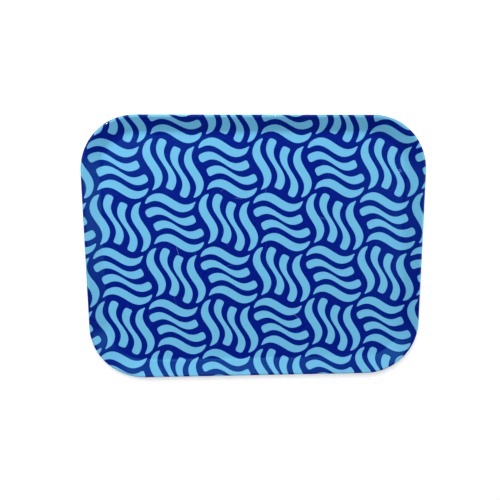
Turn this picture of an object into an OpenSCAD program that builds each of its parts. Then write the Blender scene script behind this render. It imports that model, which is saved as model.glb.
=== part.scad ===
// Lithographed tinplate serving tray with a wired, rolled rim.
// The tray lies flat: the underside of the floor is the plane z = 0,
// the long sides run along X, and the middle of the floor is at x = 0, y = 0.

/* [Tray] */
// Overall length along X, over the rolled rim
tray_length = 343; // [240:1:420]
// Overall width along Y, over the rolled rim
tray_width = 267; // [200:1:340]
// Overall height, from the underside of the floor to the top of the rim
tray_height = 11.5; // [10:0.1:18]
// Corner radius in plan, over the rolled rim
corner_radius = 55; // [45:1:90]

/* [Sheet] */
// Thickness of the tinplate
sheet = 0.35; // [0.25:0.05:0.6]
// Slope of the wall, from the floor
wall_angle = 40; // [35:1:65]
// Radius of the bend between the floor and the wall, on the upper face
bend_radius = 8; // [2:0.5:10]

/* [Rolled rim] */
// Diameter of the stiffening wire inside the rim
wire_diameter = 3.2; // [2:0.1:4]
// Radial clearance between the wire and the sheet curled round it
wire_clearance = 0.05; // [0.02:0.01:0.2]
// How far the sheet curls round the wire, from the top of the wall
curl_wrap = 305; // [200:5:310]
// Gap where the two ends of the wire meet, in the middle of a long side
wire_gap = 1; // [0.2:0.1:5]

/* [Hidden] */
$fn = 96;

sheet_color = [0.42, 0.69, 0.87];
wire_color = [0.62, 0.63, 0.64];

// The curl: radii of its faces, and its centre measured from a corner's centre
curl_outer = wire_diameter / 2 + wire_clearance + sheet;
curl_inner = curl_outer - sheet;
curl_x = corner_radius - curl_outer;
curl_z = tray_height - curl_outer;

// The wall's upper face leaves the bend and meets the curl along a tangent
wall_top_x = curl_x - curl_outer * sin(wall_angle);
wall_top_z = curl_z + curl_outer * cos(wall_angle);
wall_foot_z = sheet + bend_radius * (1 - cos(wall_angle));
wall_slant = (wall_top_z - wall_foot_z) / sin(wall_angle);
wall_foot_x = wall_top_x - wall_slant * cos(wall_angle);
floor_reach = wall_foot_x - bend_radius * sin(wall_angle);

// Neighbouring stretches of the profile run into each other by this much, to join
lap = 0.005;

// Straight stretches between the corners
straight_x = tray_length - 2 * corner_radius;
straight_y = tray_width - 2 * corner_radius;

// A pie slice that opens anticlockwise from one angle by up to 360 degrees
module pie(radius, from, sweep) {
    steps = ceil(sweep / 30);
    reach = 1.2 * radius;
    polygon(concat(
        [[0, 0]],
        [for (i = [0:steps]) reach * [cos(from + sweep * i / steps), sin(from + sweep * i / steps)]]
    ));
}

// A bent strip of sheet: part of a ring
module bend(outer, inner, from, sweep) {
    intersection() {
        difference() {
            circle(r = outer);
            circle(r = inner);
        }
        pie(outer, from, sweep);
    }
}

// Cross-section of the sheet, outwards from a corner's centre
module sheet_profile() {
    square([floor_reach + lap, sheet]);
    translate([floor_reach, sheet + bend_radius])
        bend(bend_radius + sheet, bend_radius, -90, wall_angle);
    translate([wall_foot_x, wall_foot_z])
        rotate(wall_angle)
            translate([-lap, -sheet])
                square([wall_slant + 2 * lap, sheet]);
    translate([curl_x, curl_z])
        bend(curl_outer, curl_inner, 90 + wall_angle - curl_wrap, curl_wrap);
}

// Puts its children at each corner's centre, turned to face that corner
module at_corners() {
    for (corner = [0:3])
        translate([
            (corner == 0 || corner == 3 ? 1 : -1) * straight_x / 2,
            (corner < 2 ? 1 : -1) * straight_y / 2,
            0
        ])
            rotate(90 * corner)
                children();
}

// A profile carried along a straight side, facing the given direction
module side(direction, offset, length) {
    rotate(direction)
        translate([offset, length / 2, 0])
            rotate([90, 0, 0])
                linear_extrude(length)
                    children();
}

// The pressed pan: one sheet, with its floor, wall and curl
module pan() {
    color(sheet_color) {
        translate([-straight_x / 2, -straight_y / 2, 0])
            cube([straight_x, straight_y, sheet]);
        at_corners()
            rotate_extrude(angle = 90)
                sheet_profile();
        for (direction = [0, 180])
            side(direction, straight_x / 2, straight_y)
                sheet_profile();
        for (direction = [90, 270])
            side(direction, straight_y / 2, straight_x)
                sheet_profile();
    }
}

// The stiffening wire, which lies all round inside the curl
module rim_wire() {
    half_run = (straight_x - wire_gap) / 2;
    color(wire_color)
        translate([0, 0, curl_z]) {
            at_corners()
                rotate_extrude(angle = 90)
                    translate([curl_x, 0])
                        circle(d = wire_diameter);
            for (direction = [0, 180])
                side(direction, straight_x / 2 + curl_x, straight_y)
                    circle(d = wire_diameter);
            side(270, straight_y / 2 + curl_x, straight_x)
                circle(d = wire_diameter);
            for (end = [-1, 1])
                translate([end * (wire_gap / 2 + half_run / 2), straight_y / 2 + curl_x, 0])
                    rotate([0, 90, 0])
                        cylinder(h = half_run, d = wire_diameter, center = true);
        }
}

pan();
rim_wire();
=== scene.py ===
"""A printed tin serving tray, lying flat on a pale table and seen from above.

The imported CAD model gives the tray's size. The visible pan is one closed sheet, which stands for the CAD
pan. Its upper face is cut along the edges of the print, so that each ink is a material of its own.
Lengths are in metres.
"""
import math
import random

import bpy
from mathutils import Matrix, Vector
from mathutils.geometry import delaunay_2d_cdt


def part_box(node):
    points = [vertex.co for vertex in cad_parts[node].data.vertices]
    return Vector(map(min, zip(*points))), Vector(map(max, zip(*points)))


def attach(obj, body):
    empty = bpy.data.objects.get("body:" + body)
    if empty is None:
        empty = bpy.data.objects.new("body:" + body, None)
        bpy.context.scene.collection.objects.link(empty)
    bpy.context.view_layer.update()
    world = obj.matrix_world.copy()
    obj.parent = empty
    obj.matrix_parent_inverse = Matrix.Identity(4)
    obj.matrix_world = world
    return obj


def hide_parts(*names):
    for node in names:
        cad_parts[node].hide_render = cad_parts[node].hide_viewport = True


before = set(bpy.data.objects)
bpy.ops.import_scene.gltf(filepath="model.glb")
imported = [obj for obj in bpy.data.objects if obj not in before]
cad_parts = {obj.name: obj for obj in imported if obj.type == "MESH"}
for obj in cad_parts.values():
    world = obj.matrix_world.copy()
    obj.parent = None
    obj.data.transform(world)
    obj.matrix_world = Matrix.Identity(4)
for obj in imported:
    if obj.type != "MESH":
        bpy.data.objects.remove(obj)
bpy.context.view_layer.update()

MM = 0.001

# The sheet, as in the CAD model
SHEET = 0.35 * MM
CORNER = 55 * MM
WALL_ANGLE = math.radians(40)
BEND_RADIUS = 8 * MM
CURL_RADIUS = 2 * MM
CURL_WRAP = math.radians(305)

# From the frame: half of each straight side, and the curl's centre, outwards from a corner's centre and up
_, pan_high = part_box("pan")
HALF_X = pan_high[0] - CORNER
HALF_Y = pan_high[1] - CORNER
CURL_OUT = CORNER - CURL_RADIUS
CURL_UP = pan_high[2] - CURL_RADIUS

# The wall's upper face leaves the bend, and meets the curl, along a tangent
WALL_FOOT_UP = SHEET + BEND_RADIUS * (1 - math.cos(WALL_ANGLE))
WALL_TOP_OUT = CURL_OUT - CURL_RADIUS * math.sin(WALL_ANGLE)
WALL_TOP_UP = CURL_UP + CURL_RADIUS * math.cos(WALL_ANGLE)
WALL_SLANT = (WALL_TOP_UP - WALL_FOOT_UP) / math.sin(WALL_ANGLE)
WALL_FOOT_OUT = WALL_TOP_OUT - WALL_SLANT * math.cos(WALL_ANGLE)
FLOOR_REACH = WALL_FOOT_OUT - BEND_RADIUS * math.sin(WALL_ANGLE)

# Lengths along the upper face, from the edge of the flat floor
BEND_END = BEND_RADIUS * WALL_ANGLE
WALL_END = BEND_END + WALL_SLANT
SHEET_END = WALL_END + CURL_RADIUS * CURL_WRAP


# ---------------------------------------------------------------- camera, lights and room

# The room's brightness, as it lights the tray and as the camera sees it
ROOM_LIGHT = 0.12
ROOM_SEEN = 0.95


def add_camera():
    """Above the tray, a little towards its far side, and tipped back towards the near side."""
    camera = bpy.data.objects.new("camera", bpy.data.cameras.new("camera"))
    camera.data.sensor_width = 36
    camera.data.lens = 30.96
    camera.data.clip_start = 0.01
    camera.location = (-0.0211, 0.0592, 0.4422)
    camera.rotation_euler = [math.radians(angle) for angle in (-7.75, -2.04, -0.27)]
    bpy.context.scene.collection.objects.link(camera)
    bpy.context.scene.camera = camera


def add_light(name, location, size, watts):
    """A soft rectangular light that faces the tray."""
    light = bpy.data.lights.new(name, "AREA")
    light.shape = "RECTANGLE"
    light.size, light.size_y = size
    light.energy = watts
    lamp = bpy.data.objects.new(name, light)
    lamp.location = location
    lamp.rotation_euler = (-Vector(location)).to_track_quat("-Z", "Y").to_euler()
    bpy.context.scene.collection.objects.link(lamp)


def add_lights():
    """A window close beyond the far side, and soft boxes farther off on the other three sides."""
    add_light("window", (-0.22, 0.55, 0.75), (1.1, 0.5), 9.2)
    add_light("left_box", (-0.95, 0.1, 0.9), (0.7, 1.0), 1.5)
    add_light("right_box", (1.7, 0.1, 1.5), (1.1, 1.7), 20)
    add_light("near_box", (-0.1, -1.2, 1.2), (1.5, 0.8), 3)


def add_room():
    """A room that lights the tray only dimly, and looks nearly white to the camera."""
    world = bpy.data.worlds.new("room")
    world.use_nodes = True
    nodes, links = world.node_tree.nodes, world.node_tree.links
    background = nodes["Background"]
    background.inputs["Color"].default_value = (1, 1, 1, 1)
    strength = nodes.new("ShaderNodeMapRange")
    strength.inputs["To Min"].default_value = ROOM_LIGHT
    strength.inputs["To Max"].default_value = ROOM_SEEN
    links.new(nodes.new("ShaderNodeLightPath").outputs["Is Camera Ray"], strength.inputs["Value"])
    links.new(strength.outputs["Result"], background.inputs["Strength"])
    bpy.context.scene.world = world
    bpy.context.scene.view_settings.view_transform = "Standard"


# ---------------------------------------------------------------- materials

# Each ink's colour, and the tint of the varnish's reflection over it
DARK_BLUE, DARK_GLINT = (0.0015, 0.006, 0.205), (0.1, 0.6, 1)
LIGHT_BLUE, LIGHT_GLINT = (0.135, 0.46, 0.69), (0.4, 0.8, 1)
# The pale ink of the hairlines and of the two pale marks
PALE_INK_BLUE = (0.24, 0.34, 0.66)
TIN_COLOUR = (0.66, 0.64, 0.58)
STEEL_COLOUR = (0.50, 0.49, 0.47)

# Thin sheet isn't quite flat: how wide and how deep its waves are
SHEET_WAVE = 90 * MM
SHEET_WAVE_DEPTH = 0.5 * MM


class Nodes:
    """A Principled material, with short names for the node calls that the materials share."""

    def __init__(self, name, colour, **settings):
        self.material = bpy.data.materials.new(name)
        self.material.use_nodes = True
        self.tree = self.material.node_tree
        self.sockets = self.tree.nodes["Principled BSDF"].inputs
        self.sockets["Base Color"].default_value = (*colour, 1)
        for setting, value in settings.items():
            self.sockets[setting.replace("_", " ")].default_value = value
        self.place = self.tree.nodes.new("ShaderNodeTexCoord").outputs["Object"]

    def noise(self, lump, detail, stretch=(1, 1, 1), turn=0):
        """Noise with lumps about `lump` metres across, and finer ones on them where `detail` is larger.

        The lumps are drawn out along an axis where `stretch` is less than 1, and `turn` is in degrees.
        """
        mapping = self.tree.nodes.new("ShaderNodeMapping")
        mapping.inputs["Scale"].default_value = stretch
        mapping.inputs["Rotation"].default_value = (0, 0, math.radians(turn))
        noise = self.tree.nodes.new("ShaderNodeTexNoise")
        noise.inputs["Scale"].default_value = 1 / lump
        noise.inputs["Detail"].default_value = detail
        self.tree.links.new(self.place, mapping.inputs["Vector"])
        self.tree.links.new(mapping.outputs["Vector"], noise.inputs["Vector"])
        return noise.outputs["Fac"]

    def remap(self, value, span, to):
        """Spreads the values in `span` over the range `to`, whose ends hold for values outside `span`."""
        node = self.tree.nodes.new("ShaderNodeMapRange")
        for socket, number in zip(("From Min", "From Max", "To Min", "To Max"), (*span, *to)):
            node.inputs[socket].default_value = number
        self.tree.links.new(value, node.inputs["Value"])
        return node.outputs["Result"]

    def roughness(self, largest, *others):
        """Roughness that is the largest of the given values at each place."""
        for other in others:
            node = self.tree.nodes.new("ShaderNodeMath")
            node.operation = "MAXIMUM"
            self.tree.links.new(largest, node.inputs[0])
            self.tree.links.new(other, node.inputs[1])
            largest = node.outputs["Value"]
        self.tree.links.new(largest, self.sockets["Roughness"])

    def bump(self, *layers):
        """Bumps laid over each other, each given as its height and its depth in metres."""
        normal = None
        for height, depth in layers:
            node = self.tree.nodes.new("ShaderNodeBump")
            node.inputs["Distance"].default_value = depth
            self.tree.links.new(height, node.inputs["Height"])
            if normal:
                self.tree.links.new(normal, node.inputs["Normal"])
            normal = node.outputs["Normal"]
        self.tree.links.new(normal, self.sockets["Normal"])


def ink(name, colour, glint):
    """Litho ink under varnish, with duller patches, rubbed streaks two ways, and faint orange peel."""
    nodes = Nodes(name, colour, Specular_IOR_Level=0.3, Specular_Tint=(*glint, 1))
    patches = nodes.noise(50 * MM, 5)
    along = nodes.noise(9 * MM, 4, stretch=(0.12, 1, 1), turn=20)
    across = nodes.noise(8 * MM, 4, stretch=(1, 0.1, 1), turn=-14)
    nodes.roughness(
        nodes.remap(patches, (0.3, 0.7), to=(0.24, 0.34)),
        nodes.remap(along, (0.58, 0.70), to=(0, 0.45)),
        nodes.remap(across, (0.60, 0.72), to=(0, 0.42)),
    )
    waves = nodes.noise(SHEET_WAVE, 1)
    orange_peel = nodes.noise(1.2 * MM, 2)
    nodes.bump((waves, SHEET_WAVE_DEPTH), (orange_peel, 0.006 * MM))
    return nodes.material


def pale_ink():
    """Hairlines, where the varnish is cut and the ink under it is pale, and the two pale marks near two
    corners.
    """
    nodes = Nodes("pale_ink", PALE_INK_BLUE)
    patches = nodes.noise(2 * MM, 3)
    nodes.roughness(nodes.remap(patches, (0.3, 0.7), to=(0.45, 0.7)))
    grit = nodes.noise(0.4 * MM, 2)
    nodes.bump((grit, 0.01 * MM))
    return nodes.material


def tinplate():
    """Tinplate under clear lacquer: the rolling mill's grain along the tray, and dull streaks two ways."""
    nodes = Nodes("lacquered_tinplate", TIN_COLOUR, Metallic=1)
    patches = nodes.noise(120 * MM, 4)
    along = nodes.noise(6 * MM, 4, stretch=(0.08, 1, 1), turn=12)
    across = nodes.noise(5 * MM, 4, stretch=(1, 0.1, 1), turn=-25)
    nodes.roughness(
        nodes.remap(patches, (0.3, 0.7), to=(0.22, 0.30)),
        nodes.remap(along, (0.55, 0.75), to=(0.2, 0.42)),
        nodes.remap(across, (0.58, 0.78), to=(0.2, 0.40)),
    )
    waves = nodes.noise(SHEET_WAVE, 1)
    grain = nodes.noise(0.8 * MM, 4, stretch=(0.04, 1, 1))
    nodes.bump((waves, SHEET_WAVE_DEPTH), (grain, 0.004 * MM))
    return nodes.material


def drawn_steel():
    """The wire in the rim: bright drawn steel under a dull film."""
    nodes = Nodes("drawn_steel", STEEL_COLOUR, Metallic=1)
    film = nodes.noise(4 * MM, 5)
    nodes.roughness(nodes.remap(film, (0.35, 0.7), to=(0.28, 0.55)))
    pits = nodes.noise(0.5 * MM, 3)
    nodes.bump((pits, 0.01 * MM))
    return nodes.material


def white_table():
    """Matt white, glowing a little, so that it stays white away from the lights."""
    nodes = Nodes("white_table", (1, 1, 1), Emission_Color=(1, 1, 1, 1), Emission_Strength=0.2)
    patches = nodes.noise(40 * MM, 3)
    nodes.roughness(nodes.remap(patches, (0.3, 0.7), to=(0.6, 0.7)))
    return nodes.material


# ---------------------------------------------------------------- the table

TABLE_HALF = 0.8
# Just below the tray, so that the two flat faces don't lie in each other
TABLE_TOP = -0.1 * MM


def add_table():
    """A plain square table top, which isn't part of the object."""
    corners = [(x * TABLE_HALF, y * TABLE_HALF, TABLE_TOP) for x, y in ((-1, -1), (1, -1), (1, 1), (-1, 1))]
    mesh = bpy.data.meshes.new("table")
    mesh.from_pydata(corners, [], [(0, 1, 2, 3)])
    mesh.materials.append(white_table())
    table = bpy.data.objects.new("table", mesh)
    bpy.context.scene.collection.objects.link(table)


# ---------------------------------------------------------------- the print

# The print is a basket weave of round-ended bars, bent into waves. Four cells meet at the tray's middle.
CELL = 55 * MM
BARS_PER_CELL = 4
# In cells: how wide a bar is, how much shorter than its cell it is, and how far the waves shift it
BAR_WIDTH = 0.138
BAR_GAP = 0.105
WAVE_HEIGHT = 0.105
# A bar's ends are round at 1, and squarer below 1
BLUNTNESS = 0.6
# Points along each side and round each end of a bar
SIDE_STEPS = 26
END_STEPS = 12


def bar(length, width):
    """A straight round-ended bar about the origin, along Y, as anticlockwise points."""
    radius = width / 2
    reach = length / 2 - radius
    points = []
    for side in (1, -1):
        for step in range(END_STEPS):
            angle = math.pi * step / END_STEPS
            across = math.copysign(abs(math.cos(angle)) ** BLUNTNESS, math.cos(angle))
            beyond = math.sin(angle) ** BLUNTNESS
            points.append((side * radius * across, side * (reach + radius * beyond)))
        for step in range(SIDE_STEPS):
            points.append((-side * radius, side * reach * (1 - 2 * step / SIDE_STEPS)))
    return points


def on_print(across, up):
    """A place in the weave, given in cells from the tray's middle, once the waves have bent it."""
    wavy_across = across + WAVE_HEIGHT * math.sin(math.tau * up)
    wavy_up = up + WAVE_HEIGHT * math.sin(math.tau * across)
    return CELL * Vector((wavy_across, wavy_up))


def light_bars():
    """The outlines of the light bars that reach the sheet, each anticlockwise in the flat sheet."""
    outline = bar(1 - BAR_GAP, BAR_WIDTH)
    reach_x = HALF_X + FLOOR_REACH + SHEET_END
    reach_y = HALF_Y + FLOOR_REACH + SHEET_END
    cells = math.ceil(reach_x / CELL) + 1
    bars = []
    for column in range(-cells, cells + 1):
        for row in range(-cells, cells + 1):
            for number in range(BARS_PER_CELL):
                offset = (number + 0.5) / BARS_PER_CELL
                if (column + row) % 2:
                    shape = [on_print(column + offset + x, row + 0.5 + y) for x, y in outline]
                else:
                    # Across the cell: swapping x and y turns the points round, so they run backwards
                    shape = [on_print(column + 0.5 + y, row + offset + x) for x, y in reversed(outline)]
                if any(abs(point.x) < reach_x and abs(point.y) < reach_y for point in shape):
                    bars.append(shape)
    return bars


# ---------------------------------------------------------------- wear, and two pale marks

WEAR_SEED = 7

# Hairlines lie here and there on the floor
HAIRLINES = 22
HAIRLINE_STEPS = 6
# Two pale marks near two corners, at the foot of the bends: each is a cluster of short, thicker pale
# hairlines that run nearly the same way
PALE_MARKS = ((148 * MM, 79 * MM), (-147 * MM, 48 * MM))
HAIRLINES_PER_PALE_MARK = 7
PALE_MARK_SPREAD = 1.5 * MM
PALE_MARK_FAN = 0.15

# Chips on the rim
RIM_CHIPS = 14
CHIP_POINTS = 9


def hairline(middle, heading, length, width, bow):
    """A thin, slightly bowed stroke with pointed ends, anticlockwise: a scratch on its own, and a piece of
    a pale mark in a cluster.
    """
    forward = Vector((math.cos(heading), math.sin(heading)))
    left = Vector((-forward.y, forward.x))
    points = []
    for side in (-1, 1):
        for step in range(HAIRLINE_STEPS):
            along = side * (1 - 2 * step / HAIRLINE_STEPS)
            rise = (1 - along * along) * (bow + side * width / 2)
            points.append(middle + along * length / 2 * forward + rise * left)
    return points


def chip(middle, outward, length, width, draw):
    """A ragged spot rubbed bare on the rim, longest along it, anticlockwise."""
    along = Vector((-outward.y, outward.x))
    points = []
    for step in range(CHIP_POINTS):
        angle = math.tau * step / CHIP_POINTS
        size = draw.uniform(0.6, 1) / 2
        spoke = width * math.cos(angle) * outward + length * math.sin(angle) * along
        points.append(middle + size * spoke)
    return points


def on_rim(draw):
    """A place on top of the curl, anywhere round the tray, and the way outward there."""
    x = draw.uniform(-1, 1) * (HALF_X + CORNER)
    y = draw.uniform(-1, 1) * (HALF_Y + CORNER)
    # A long side is chosen more often than a short one, as it has more of the rim
    if draw.random() * (HALF_X + HALF_Y) < HALF_X:
        y = math.copysign(HALF_Y + CORNER, y)
    else:
        x = math.copysign(HALF_X + CORNER, x)
    middle, away = core(Vector((x, y)))
    outward = away.normalized()
    top_of_curl = FLOOR_REACH + WALL_END + CURL_RADIUS * WALL_ANGLE
    past_top = draw.uniform(-0.2, 1) * MM
    return middle + (top_of_curl + past_top) * outward, outward


def wear_and_pale_marks():
    """The outlines of the hairlines, of the two pale marks, and of the chips, in the flat sheet."""
    draw = random.Random(WEAR_SEED)
    hairlines = []
    for _ in range(HAIRLINES):
        middle = Vector((draw.uniform(-HALF_X, HALF_X), draw.uniform(-HALF_Y, HALF_Y)))
        bow = draw.uniform(-1, 1) * MM
        length = draw.uniform(6, 26) * MM
        width = draw.uniform(0.07, 0.16) * MM
        heading = draw.uniform(0, math.pi)
        hairlines.append(hairline(middle, heading, length, width, bow))
    # Each pale mark: short, thicker pale strokes about one place, running nearly one way
    for x, y in PALE_MARKS:
        mark_heading = draw.uniform(0, math.pi)
        for _ in range(HAIRLINES_PER_PALE_MARK):
            shift_x = draw.uniform(-PALE_MARK_SPREAD, PALE_MARK_SPREAD)
            shift_y = draw.uniform(-PALE_MARK_SPREAD, PALE_MARK_SPREAD)
            length = draw.uniform(1.5, 4) * MM
            width = draw.uniform(0.2, 0.4) * MM
            heading = mark_heading + draw.uniform(-PALE_MARK_FAN, PALE_MARK_FAN)
            hairlines.append(hairline(Vector((x + shift_x, y + shift_y)), heading, length, width, 0))
    chips = []
    for _ in range(RIM_CHIPS):
        middle, outward = on_rim(draw)
        length = draw.uniform(0.8, 3.5) * MM
        width = draw.uniform(0.25, 0.6) * MM
        chips.append(chip(middle, outward, length, width, draw))
    return hairlines, chips


# ---------------------------------------------------------------- the pan

# The pan's material slots. Where outlines overlap, the later slot shows.
DARK, LIGHT, PALE_INK, TIN = range(4)

# Steps across the bend, round the curl, and round each corner
BEND_STEPS = 6
CURL_STEPS = 26
CORNER_STEPS = 24

# What delaunay_2d_cdt is asked for: only the triangles inside the outlines, with points this close joined
INSIDE_OUTLINES = 1
JOIN_DISTANCE = 1e-7


def profile(along, depth):
    """The sheet's section past the flat floor: how far out and up a point is, and the sheet's slope there.

    `along` runs on the upper face from the edge of the floor, and `depth` goes into the sheet.
    """
    if along <= BEND_END:
        slope = along / BEND_RADIUS
        out = FLOOR_REACH + BEND_RADIUS * math.sin(slope)
        up = SHEET + BEND_RADIUS * (1 - math.cos(slope))
    elif along <= WALL_END:
        slope = WALL_ANGLE
        out = WALL_FOOT_OUT + (along - BEND_END) * math.cos(slope)
        up = WALL_FOOT_UP + (along - BEND_END) * math.sin(slope)
    else:
        slope = WALL_ANGLE - (along - WALL_END) / CURL_RADIUS
        out = CURL_OUT - CURL_RADIUS * math.sin(slope)
        up = CURL_UP + CURL_RADIUS * math.cos(slope)
    return out + depth * math.sin(slope), up - depth * math.cos(slope), slope


def core(point):
    """The nearest point of the rectangle that the round corners are centred on, and the way out from it."""
    middle = Vector((max(-HALF_X, min(HALF_X, point.x)), max(-HALF_Y, min(HALF_Y, point.y))))
    away = point - middle
    return middle, away


def formed(point, depth=0.0):
    """A point of the flat sheet, where it lies on the tray, and the upper face's normal there."""
    middle, away = core(point)
    along = away.length - FLOOR_REACH
    if along <= 0:
        return Vector((point.x, point.y, SHEET - depth)), Vector((0, 0, 1))
    outward = away.normalized()
    out, up, slope = profile(along, depth)
    place = middle + out * outward
    normal = Vector((*(-math.sin(slope) * outward), math.cos(slope)))
    return Vector((place.x, place.y, up)), normal


def ring(along):
    """Points round the flat sheet at one distance from the edge of the floor."""
    reach = FLOOR_REACH + along
    points = []
    for turn, (side_x, side_y) in enumerate(((1, 1), (-1, 1), (-1, -1), (1, -1))):
        for step in range(CORNER_STEPS + 1):
            angle = math.pi / 2 * (turn + step / CORNER_STEPS)
            x = side_x * HALF_X + reach * math.cos(angle)
            y = side_y * HALF_Y + reach * math.sin(angle)
            points.append(Vector((x, y)))
    return points


def ring_places():
    """Distances of the rings: across the bend, and from the top of the wall round the curl."""
    bend = [BEND_END * step / BEND_STEPS for step in range(BEND_STEPS + 1)]
    curl = [WALL_END + (SHEET_END - WALL_END) * step / CURL_STEPS for step in range(CURL_STEPS + 1)]
    return bend + curl


def ring_net():
    """The rings' points, the edges along and between the rings, and the last ring's point numbers."""
    rings = [ring(along) for along in ring_places()]
    count = len(rings[0])
    points = [point for one in rings for point in one]
    edges = []
    for start in range(0, len(points), count):
        edges += [(start + i, start + (i + 1) % count) for i in range(count)]
    for start in range(0, len(points) - count, count):
        edges += [(start + i, start + count + i) for i in range(count)]
    return points, edges, list(range(len(points) - count, len(points)))


def cut_sheet():
    """The flat sheet as triangles, cut along the rings, the corners' radii, the print, the wear and the two
    pale marks.

    Returns the points, the triangles, and each triangle's material slot.
    """
    points, edges, last_ring = ring_net()
    # Outline 0 is the sheet's own edge
    outlines = [last_ring]
    slots = [DARK]
    hairlines, chips = wear_and_pale_marks()
    for slot, shapes in ((LIGHT, light_bars()), (PALE_INK, hairlines), (TIN, chips)):
        for shape in shapes:
            outlines.append(list(range(len(points), len(points) + len(shape))))
            slots.append(slot)
            points += shape

    # The last result tells which outlines each triangle is inside. What is outside the sheet is dropped.
    cut = delaunay_2d_cdt(points, edges, outlines, INSIDE_OUTLINES, JOIN_DISTANCE, True)
    points, _, triangles, _, _, sources = cut
    faces = []
    face_slots = []
    for triangle, inside in zip(triangles, sources):
        if 0 in inside:
            faces.append(list(triangle))
            face_slots.append(max(slots[number] for number in inside))
    return points, faces, face_slots


def without_loose_points(points, faces):
    """The points that the faces use, and the faces with their new numbers."""
    used = sorted({number for face in faces for number in face})
    place = {number: index for index, number in enumerate(used)}
    return [points[number] for number in used], [[place[number] for number in face] for face in faces]


def outer_loop(triangles):
    """The numbers of the points round the outer edge, in order."""
    edges = {pair for a, b, c in triangles for pair in ((a, b), (b, c), (c, a))}
    following = {a: b for a, b in edges if (b, a) not in edges}
    loop = [min(following)]
    while following[loop[-1]] != loop[0]:
        loop.append(following[loop[-1]])
    return loop


def add_underside(flat, points, normals, faces):
    """Closes the sheet: over its edge, back ring by ring to the floor, and one face under the floor."""
    loop = outer_loop(faces)
    last = loop
    for along in reversed(ring_places()):
        new = list(range(len(points), len(points) + len(loop)))
        for number in loop:
            middle, away = core(flat[number])
            point, normal = formed(middle + (FLOOR_REACH + along) * away.normalized(), SHEET)
            points.append(point)
            normals.append(-normal)
        for i in range(len(loop)):
            j = (i + 1) % len(loop)
            faces.append([last[j], last[i], new[i], new[j]])
        last = new
    faces.append(last[::-1])


def build_pan():
    """The pressed sheet as one closed mesh: its printed upper face, its edge, and its plain underside."""
    cut_points, cut_faces, slots = cut_sheet()
    flat, faces = without_loose_points(cut_points, cut_faces)
    points, normals = (list(values) for values in zip(*(formed(point) for point in flat)))
    add_underside(flat, points, normals, faces)
    # The faces just added are all tinplate
    slots += [TIN] * (len(faces) - len(slots))

    mesh = bpy.data.meshes.new("printed_pan")
    mesh.from_pydata(points, [], faces)
    dark = ink("dark_blue_ink", DARK_BLUE, DARK_GLINT)
    light = ink("light_blue_ink", LIGHT_BLUE, LIGHT_GLINT)
    for material in (dark, light, pale_ink(), tinplate()):
        mesh.materials.append(material)
    mesh.polygons.foreach_set("material_index", slots)
    mesh.shade_smooth()
    mesh.normals_split_custom_set_from_vertices(normals)
    pan = bpy.data.objects.new("printed_pan", mesh)
    bpy.context.scene.collection.objects.link(pan)
    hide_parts("pan")
    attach(pan, "root")


def finish_wire():
    """The CAD model's wire stays as it is, in drawn steel."""
    steel = drawn_steel()
    for slot in bpy.data.objects["rim_wire"].material_slots:
        slot.material = steel


# ---------------------------------------------------------------- the scene

add_camera()
add_lights()
add_room()
add_table()
build_pan()
finish_wire()
